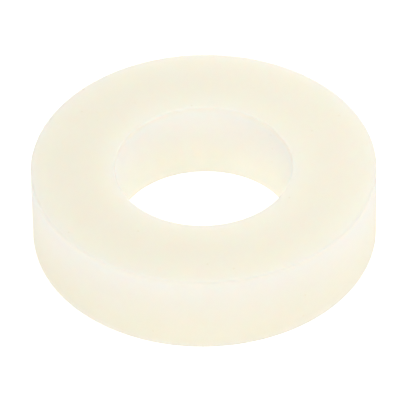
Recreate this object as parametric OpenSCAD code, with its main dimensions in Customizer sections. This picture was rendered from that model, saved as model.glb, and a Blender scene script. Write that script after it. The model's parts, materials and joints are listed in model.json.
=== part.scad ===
// Thick flat washer, moulded in one piece from natural nylon.
//
// The washer lies flat. +Z is the axis of its hole, and the origin is the centre of its lower face.
// A small round breaks every edge, so the bearing faces are plane rings, and the outer wall
// and the wall of the hole are plain cylinders between their rounds.

/* [Screw] */
// Diameter of the screw that passes through the hole
screw_d = 6.35; // [2:0.05:8]
// Play of the screw in the hole, across the diameter
screw_play = 0.15; // [0.05:0.01:0.6]

/* [Ring] */
// Outside diameter
outer_d = 12.7; // [10:0.1:30]
// Thickness from one bearing face to the other
thickness = 3.175; // [1:0.025:8]

/* [Edges] */
// Radius of the round on both outer edges
outer_edge_r = 0.08; // [0.05:0.01:0.25]
// Radius of the round on both edges of the hole
hole_edge_r = 0.06; // [0.05:0.01:0.25]

/* [Hidden] */
natural_nylon = [0.93, 0.91, 0.82];
hole_r = (screw_d + screw_play) / 2;
outer_r = outer_d / 2;
$fn = 128;

// The strip of the cross-section behind one wall: the wall is at x = 0, the material is on
// its +X side, and a round of radius r leads from the wall into each bearing face.
module wall_strip(r) {
    translate([0, r]) square([r, thickness - 2 * r]);
    for (z = [r, thickness - r])
        translate([r, z]) circle(r = r);
}

// The cross-section of the ring, to the right of the axis.
module ring_section() {
    translate([hole_r, 0]) wall_strip(hole_edge_r);
    translate([outer_r, 0]) mirror([1, 0]) wall_strip(outer_edge_r);
    // the plain band between the two bearing faces
    face_inner_r = hole_r + hole_edge_r;
    face_outer_r = outer_r - outer_edge_r;
    translate([face_inner_r, 0]) square([face_outer_r - face_inner_r, thickness]);
}

module washer() {
    color(natural_nylon) rotate_extrude() ring_section();
}

washer();
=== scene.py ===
"""Looks of a thick flat washer of natural nylon, lying on a white studio floor."""

import json
import math

import bmesh
import bpy
from mathutils import Matrix, Vector


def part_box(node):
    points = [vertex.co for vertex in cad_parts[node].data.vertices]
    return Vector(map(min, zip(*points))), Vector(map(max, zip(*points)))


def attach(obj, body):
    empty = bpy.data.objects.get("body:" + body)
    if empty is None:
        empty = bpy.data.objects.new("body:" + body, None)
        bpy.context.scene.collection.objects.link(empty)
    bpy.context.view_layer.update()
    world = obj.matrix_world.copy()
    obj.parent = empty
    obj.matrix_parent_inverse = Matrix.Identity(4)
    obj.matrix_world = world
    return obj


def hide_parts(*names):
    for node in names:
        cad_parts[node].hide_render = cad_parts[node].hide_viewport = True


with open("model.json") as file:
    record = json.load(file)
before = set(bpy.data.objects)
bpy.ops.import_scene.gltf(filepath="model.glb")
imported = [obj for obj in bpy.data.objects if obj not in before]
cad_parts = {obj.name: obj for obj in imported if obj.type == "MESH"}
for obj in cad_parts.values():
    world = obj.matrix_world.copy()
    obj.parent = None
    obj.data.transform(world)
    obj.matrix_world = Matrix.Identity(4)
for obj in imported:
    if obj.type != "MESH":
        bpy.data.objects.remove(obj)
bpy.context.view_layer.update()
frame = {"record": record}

MM = 0.001
WARM_WHITE = (1.0, 0.973, 0.932)  # the colour of all the studio's light

# ---------------------------------------------------------------- sizes of the washer
low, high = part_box("washer")
screw_hole = next(m for m in frame["record"]["mounts"] if m["name"] == "screw_hole")
outer_r = (high.x - low.x) / 2
thickness = high.z - low.z
hole_r = screw_hole["dims"]["r_mm"] * MM
hole_edge_r = (thickness - screw_hole["dims"]["length_mm"] * MM) / 2
outer_edge_r = 0.08 * MM  # the record doesn't give this one
middle = Vector((0, 0, low.z + thickness / 2))


def show(name, mesh, material):
    """Puts a finished mesh into the scene at the origin, with its material."""
    thing = bpy.data.objects.new(name, mesh)
    bpy.context.scene.collection.objects.link(thing)
    mesh.materials.append(material)
    return thing


# ---------------------------------------------------------------- camera
def towards(azimuth, elevation):
    """The direction from the washer to something that stands at that bearing.
    Azimuth 0 is in front, at -Y, and 90 is at the right, at +X."""
    a, e = math.radians(azimuth), math.radians(elevation)
    return Vector((math.sin(a) * math.cos(e), -math.cos(a) * math.cos(e), math.sin(e)))


def stand(data, place, target, roll=0.0):
    """Stands a camera or a light at a place, pointed at the target."""
    thing = bpy.data.objects.new(data.name, data)
    bpy.context.scene.collection.objects.link(thing)
    turn = (target - place).to_track_quat("-Z", "Y").to_matrix() @ Matrix.Rotation(roll, 3, "Z")
    thing.matrix_world = Matrix.Translation(place) @ turn.to_4x4()
    return thing


def studio_camera():
    """A long lens close by, looking down at the washer from the front."""
    elevation = 41.65
    distance = 33 * outer_r
    left, below = 0.152 * MM, 0.074 * MM  # how far the aim passes from the washer's middle
    data = bpy.data.cameras.new("studio_camera")
    data.sensor_width, data.lens = 36, 512
    data.clip_start, data.clip_end = 0.01, 10
    target = middle - left * Vector((1, 0, 0)) - below * towards(180, 90 - elevation)
    place = target + distance * towards(0, elevation)
    return stand(data, place, target, roll=math.radians(-1.02))


bpy.context.scene.camera = studio_camera()
bpy.context.scene.view_settings.view_transform = "Standard"


# ---------------------------------------------------------------- shader nodes
def node(tree, kind, inputs=None, **settings):
    """Adds a node with its settings, and fills or links its inputs."""
    made = tree.nodes.new(kind)
    for name, value in settings.items():
        setattr(made, name, value)
    for socket, value in (inputs or {}).items():
        if isinstance(value, bpy.types.NodeSocket):
            tree.links.new(value, made.inputs[socket])
        else:
            made.inputs[socket].default_value = value
    return made


def maths(tree, operation, *values):
    """The result of one Math node."""
    return node(tree, "ShaderNodeMath", dict(enumerate(values)), operation=operation).outputs[0]


def fade(tree, value, start, end, low_value=0.0, high_value=1.0):
    """low_value up to start, high_value from end on, and a smooth change between."""
    inputs = {"Value": value, "From Min": start, "From Max": end, "To Min": low_value, "To Max": high_value}
    return node(tree, "ShaderNodeMapRange", inputs, interpolation_type="SMOOTHSTEP").outputs["Result"]


def tint(tree, share, colour_a, colour_b):
    """colour_a where share is 0, colour_b where it is 1. The node's sockets for numbers and for colours
    have the same names, so they are picked by their places."""
    factor, first_colour, second_colour, result = 0, 6, 7, 2
    inputs = {factor: share, first_colour: colour_a, second_colour: colour_b}
    return node(tree, "ShaderNodeMix", inputs, data_type="RGBA").outputs[result]


def group(name, inputs, outputs):
    """A node group with named float and vector sockets. Returns it and the sockets inside it."""
    made = bpy.data.node_groups.new(name, "ShaderNodeTree")
    made.interface.new_socket("Position", in_out="INPUT", socket_type="NodeSocketVector")
    for label, default in inputs.items():
        socket = made.interface.new_socket(label, in_out="INPUT", socket_type="NodeSocketFloat")
        socket.default_value = default
    for label in outputs:
        made.interface.new_socket(label, in_out="OUTPUT", socket_type="NodeSocketFloat")
    start, end = made.nodes.new("NodeGroupInput"), made.nodes.new("NodeGroupOutput")
    return made, start.outputs, end.inputs


def milkiness_group():
    """Soft clouds, as in nylon that cooled a little faster here and slower there."""
    cloud_share, wisp_share = 0.7, 0.3
    clear, milky = 0.32, 0.68
    made, given, out = group("milkiness", {"Cloud Size": 1.6 * MM, "Wisp Size": 0.35 * MM}, ["Milky"])
    clouds = node(made, "ShaderNodeTexNoise", {
        "Vector": given["Position"], "Scale": maths(made, "DIVIDE", 1.0, given["Cloud Size"]),
        "Detail": 2.0, "Roughness": 0.5,
    })
    wisps = node(made, "ShaderNodeTexNoise", {
        "Vector": given["Position"], "Scale": maths(made, "DIVIDE", 1.0, given["Wisp Size"]),
        "Detail": 3.0, "Roughness": 0.6,
    })
    both = maths(made, "ADD", maths(made, "MULTIPLY", clouds.outputs["Fac"], cloud_share),
                 maths(made, "MULTIPLY", wisps.outputs["Fac"], wisp_share))
    made.links.new(fade(made, both, clear, milky), out["Milky"])
    return made


def specks_group():
    """Sparse tiny inclusions: a few cells of a cell pattern hold one soft dot each."""
    sizes = {"Spacing": 0.5 * MM, "Dot Share": 0.13, "Cells Filled": 0.22}
    made, given, out = group("specks", sizes, ["Speck"])
    cells = node(made, "ShaderNodeTexVoronoi", {
        "Vector": given["Position"], "Scale": maths(made, "DIVIDE", 1.0, given["Spacing"]),
    })
    chance = node(made, "ShaderNodeSeparateColor", {"Color": cells.outputs["Color"]})
    filled = maths(made, "LESS_THAN", chance.outputs["Red"], given["Cells Filled"])
    dot = fade(made, cells.outputs["Distance"], given["Dot Share"], 0.0)
    made.links.new(maths(made, "MULTIPLY", filled, dot), out["Speck"])
    return made


def walls_group():
    """Where a point of a ring is, to place the painted light and shade on the walls. Outside is 1 on the
    outer wall and Hole is 1 on the hole's wall: both fade to 0 at a depth of Reach, and towards the faces
    over the last Rim of the wall. Height goes from 0 at the lower face to 1 at the upper one."""
    sizes = {"Outer Radius": outer_r, "Hole Radius": hole_r, "Thickness": thickness,
             "Reach": 0.1 * MM, "Rim": 0.35 * MM}
    made, given, out = group("walls", sizes, ["Outside", "Hole", "Height"])
    place = node(made, "ShaderNodeSeparateXYZ", {"Vector": given["Position"]}).outputs
    flat = node(made, "ShaderNodeCombineXYZ", {"X": place["X"], "Y": place["Y"]})
    from_axis = node(made, "ShaderNodeVectorMath", {0: flat.outputs["Vector"]}, operation="LENGTH")
    radius = from_axis.outputs["Value"]
    face_gap = maths(made, "MINIMUM", place["Z"], maths(made, "SUBTRACT", given["Thickness"], place["Z"]))
    clear_of_rims = fade(made, face_gap, 0.0, given["Rim"])
    for label, wall_radius in (("Outside", "Outer Radius"), ("Hole", "Hole Radius")):
        depth = maths(made, "ABSOLUTE", maths(made, "SUBTRACT", radius, given[wall_radius]))
        wall = fade(made, depth, given["Reach"], 0.0)
        made.links.new(maths(made, "MULTIPLY", wall, clear_of_rims), out[label])
    made.links.new(fade(made, place["Z"], 0.0, given["Thickness"]), out["Height"])
    return made


def moulded_skin_group():
    """The skin that the mould leaves: long shallow swells under a fine grain."""
    sizes = {"Swell Size": 1.4 * MM, "Grain Size": 0.09 * MM}
    made, given, out = group("moulded_skin", sizes, ["Swell", "Grain"])
    for label, size, detail in (("Swell", "Swell Size", 1.0), ("Grain", "Grain Size", 2.0)):
        noise = node(made, "ShaderNodeTexNoise", {
            "Vector": given["Position"], "Scale": maths(made, "DIVIDE", 1.0, given[size]), "Detail": detail,
        })
        made.links.new(noise.outputs["Fac"], out[label])
    return made


def natural_nylon():
    """Undyed nylon: warm off-white, cloudy and translucent, with a satin skin, and painted light and shade
    on its walls.
    """
    face = (0.99, 0.934, 0.796, 1)
    # The wall colours are painted light and shade: darker and yellower towards the floor as painted shade,
    # whiter towards the upper face and in the hole as painted light.
    outside_painted_shade, outside_painted_light = (0.930, 0.890, 0.760, 1), (0.962, 0.942, 0.855, 1)
    hole_painted_shade, hole_painted_light = (0.897, 0.896, 0.812, 1), (0.962, 0.980, 0.900, 1)
    milky, most_milk = (1.0, 0.98, 0.92, 1), 0.15
    amber, most_amber = (0.80, 0.70, 0.48, 1), 0.35
    fine_grain, coarse_grain = 0.35, 0.65
    smoothest, roughest = 0.45, 0.58
    swell_to_grain, grain_height = 12.0, 0.0012 * MM
    material = bpy.data.materials.new("natural_nylon")
    material.use_nodes = True
    tree = material.node_tree
    shader = tree.nodes["Principled BSDF"]
    position = node(tree, "ShaderNodeTexCoord").outputs["Object"]

    def effect(made):
        return node(tree, "ShaderNodeGroup", {"Position": position}, node_tree=made).outputs

    milk = effect(milkiness_group())["Milky"]
    speck = effect(specks_group())["Speck"]
    walls = effect(walls_group())
    skin = effect(moulded_skin_group())

    # Painted shade low on the walls and painted light high on them and in the hole, over the face colour.
    colour = tint(tree, walls["Outside"], face, tint(tree, walls["Height"], outside_painted_shade, outside_painted_light))
    colour = tint(tree, walls["Hole"], colour, tint(tree, walls["Height"], hole_painted_shade, hole_painted_light))
    colour = tint(tree, maths(tree, "MULTIPLY", milk, most_milk), colour, milky)
    colour = tint(tree, maths(tree, "MULTIPLY", speck, most_amber), colour, amber)
    tree.links.new(colour, shader.inputs["Base Color"])

    rough = fade(tree, skin["Grain"], fine_grain, coarse_grain, smoothest, roughest)
    tree.links.new(rough, shader.inputs["Roughness"])

    height = maths(tree, "ADD", maths(tree, "MULTIPLY", skin["Swell"], swell_to_grain), skin["Grain"])
    bump = node(tree, "ShaderNodeBump", {"Strength": 1.0, "Distance": grain_height, "Height": height})
    tree.links.new(bump.outputs["Normal"], shader.inputs["Normal"])

    shader.inputs["IOR"].default_value = 1.53
    shader.inputs["Subsurface Weight"].default_value = 1.0
    shader.inputs["Subsurface Radius"].default_value = (0.8, 0.6, 0.5)
    shader.inputs["Subsurface Scale"].default_value = 1.6 * MM
    return material


# ---------------------------------------------------------------- the washer
def ring_outline(bm):
    """The ring's cross-section as a closed outline in the XZ plane, with rounded corners."""
    facets_per_round, cuts_per_side = 8, 13
    between = (outer_r + hole_r) / 2
    bmesh.ops.create_grid(bm, x_segments=1, y_segments=1, size=0.5)
    bmesh.ops.rotate(bm, verts=bm.verts, cent=(0, 0, 0), matrix=Matrix.Rotation(math.pi / 2, 3, "X"))
    bmesh.ops.scale(bm, verts=bm.verts, vec=(outer_r - hole_r, 1, thickness))
    bmesh.ops.translate(bm, verts=bm.verts, vec=(between, 0, middle.z))
    outer = [v for v in bm.verts if v.co.x > between]
    inner = [v for v in bm.verts if v.co.x < between]
    for corners, radius in ((outer, outer_edge_r), (inner, hole_edge_r)):
        bmesh.ops.bevel(
            bm, geom=corners, offset=radius, offset_type="OFFSET", affect="VERTICES",
            segments=facets_per_round, profile=0.5, material=-1,
        )
    bmesh.ops.delete(bm, geom=list(bm.faces), context="FACES_ONLY")
    straight = [e for e in bm.edges if e.calc_length() > 2 * outer_edge_r]
    bmesh.ops.subdivide_edges(bm, edges=straight, cuts=cuts_per_side)


def nylon_ring():
    """The whole washer: its cross-section, spun once round the axis of the hole."""
    steps_round, even_weight = 288, 50
    bm = bmesh.new()
    ring_outline(bm)
    bmesh.ops.spin(
        bm, geom=[*bm.verts, *bm.edges], cent=(0, 0, 0), axis=(0, 0, 1), dvec=(0, 0, 0),
        angle=2 * math.pi, steps=steps_round, use_merge=True, use_normal_flip=False, use_duplicate=False,
    )
    bmesh.ops.recalc_face_normals(bm, faces=bm.faces)
    for face in bm.faces:
        face.smooth = True
    mesh = bpy.data.meshes.new("nylon_ring")
    bm.to_mesh(mesh)
    bm.free()
    ring = show("nylon_ring", mesh, natural_nylon())
    shading = ring.modifiers.new("flat_faces_shade_flat", "WEIGHTED_NORMAL")
    shading.mode, shading.weight = "FACE_AREA", even_weight
    return ring


ring = nylon_ring()
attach(ring, "root")
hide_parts("washer")


# ---------------------------------------------------------------- floor, surround and lights
def white_floor():
    """A glowing white table, exposed so brightly that shadows on it are lost to the camera. Its glow is
    painted dimmer close to the washer as painted shade, which gives the washer a little less light from
    close by, and
    the camera sees a painted contact shadow: a thin dark line under the washer's edge."""
    half_width = 2
    glow, painted_shade_glow, painted_shade_reach = 0.456, 0.385, 1.5 * MM
    seen_glow, painted_contact_shadow_glow, painted_contact_shadow_width = 0.85, 0.0, 0.05 * MM
    material = bpy.data.materials.new("white_table")
    material.use_nodes = True
    tree = material.node_tree
    shader = tree.nodes["Principled BSDF"]
    position = node(tree, "ShaderNodeTexCoord").outputs["Object"]
    from_axis = node(tree, "ShaderNodeVectorMath", {0: position}, operation="LENGTH")
    radius = from_axis.outputs["Value"]
    clearance = maths(tree, "MAXIMUM", maths(tree, "SUBTRACT", radius, outer_r),
                      maths(tree, "SUBTRACT", hole_r, radius))
    # Painted shade: the glow that lights the washer is dimmer close to it.
    for_light = fade(tree, clearance, 0.0, painted_shade_reach, painted_shade_glow, glow)
    # Painted contact shadow: for the camera the glow drops to nothing in a thin line under the washer's
    # edge.
    for_camera = fade(tree, clearance, -painted_contact_shadow_width, 0.0, painted_contact_shadow_glow, seen_glow)
    seen = node(tree, "ShaderNodeLightPath").outputs["Is Camera Ray"]
    tree.links.new(fade(tree, seen, 0.0, 1.0, for_light, for_camera), shader.inputs["Emission Strength"])
    shader.inputs["Emission Color"].default_value = (*WARM_WHITE, 1)
    shader.inputs["Base Color"].default_value = (0.8, 0.8, 0.8, 1)
    shader.inputs["Roughness"].default_value = 1.0
    shader.inputs["Specular IOR Level"].default_value = 0.0
    bm = bmesh.new()
    bmesh.ops.create_grid(bm, x_segments=1, y_segments=1, size=half_width)
    bmesh.ops.translate(bm, verts=bm.verts, vec=(0, 0, low.z))
    mesh = bpy.data.meshes.new("floor")
    bm.to_mesh(mesh)
    bm.free()
    return show("floor", mesh, material)


def white_surround():
    """Even light from all round, and plain white where the camera sees it."""
    light, seen_white = 0.358, 1.2
    world = bpy.data.worlds.new("white_surround")
    world.use_nodes = True
    tree = world.node_tree
    seen = node(tree, "ShaderNodeLightPath").outputs["Is Camera Ray"]
    background = tree.nodes["Background"]
    tree.links.new(fade(tree, seen, 0.0, 1.0, light, seen_white), background.inputs["Strength"])
    background.inputs["Color"].default_value = (*WARM_WHITE, 1)
    return world


def softbox(name, azimuth, elevation, distance, side, level):
    """A square soft light. Level is how bright a white card at the washer looks when it faces it."""
    data = bpy.data.lights.new(name, "AREA")
    data.shape, data.size, data.color = "SQUARE", side, WARM_WHITE
    data.energy = level * (math.pi * distance) ** 2
    return stand(data, middle + distance * towards(azimuth, elevation), middle)


white_floor()
bpy.context.scene.world = white_surround()
softbox("front_light", azimuth=-45, elevation=42, distance=0.20, side=0.10, level=0.086)
softbox("front_left_light", azimuth=-50, elevation=27, distance=0.15, side=0.08, level=0.176)
softbox("front_right_light", azimuth=50, elevation=27, distance=0.15, side=0.08, level=0.182)
softbox("right_light", azimuth=90, elevation=20, distance=0.10, side=0.08, level=0.098)
softbox("back_light", azimuth=180, elevation=20, distance=0.10, side=0.08, level=0.326)
softbox("top_light", azimuth=90, elevation=83.5, distance=0.025, side=0.012, level=0.269)
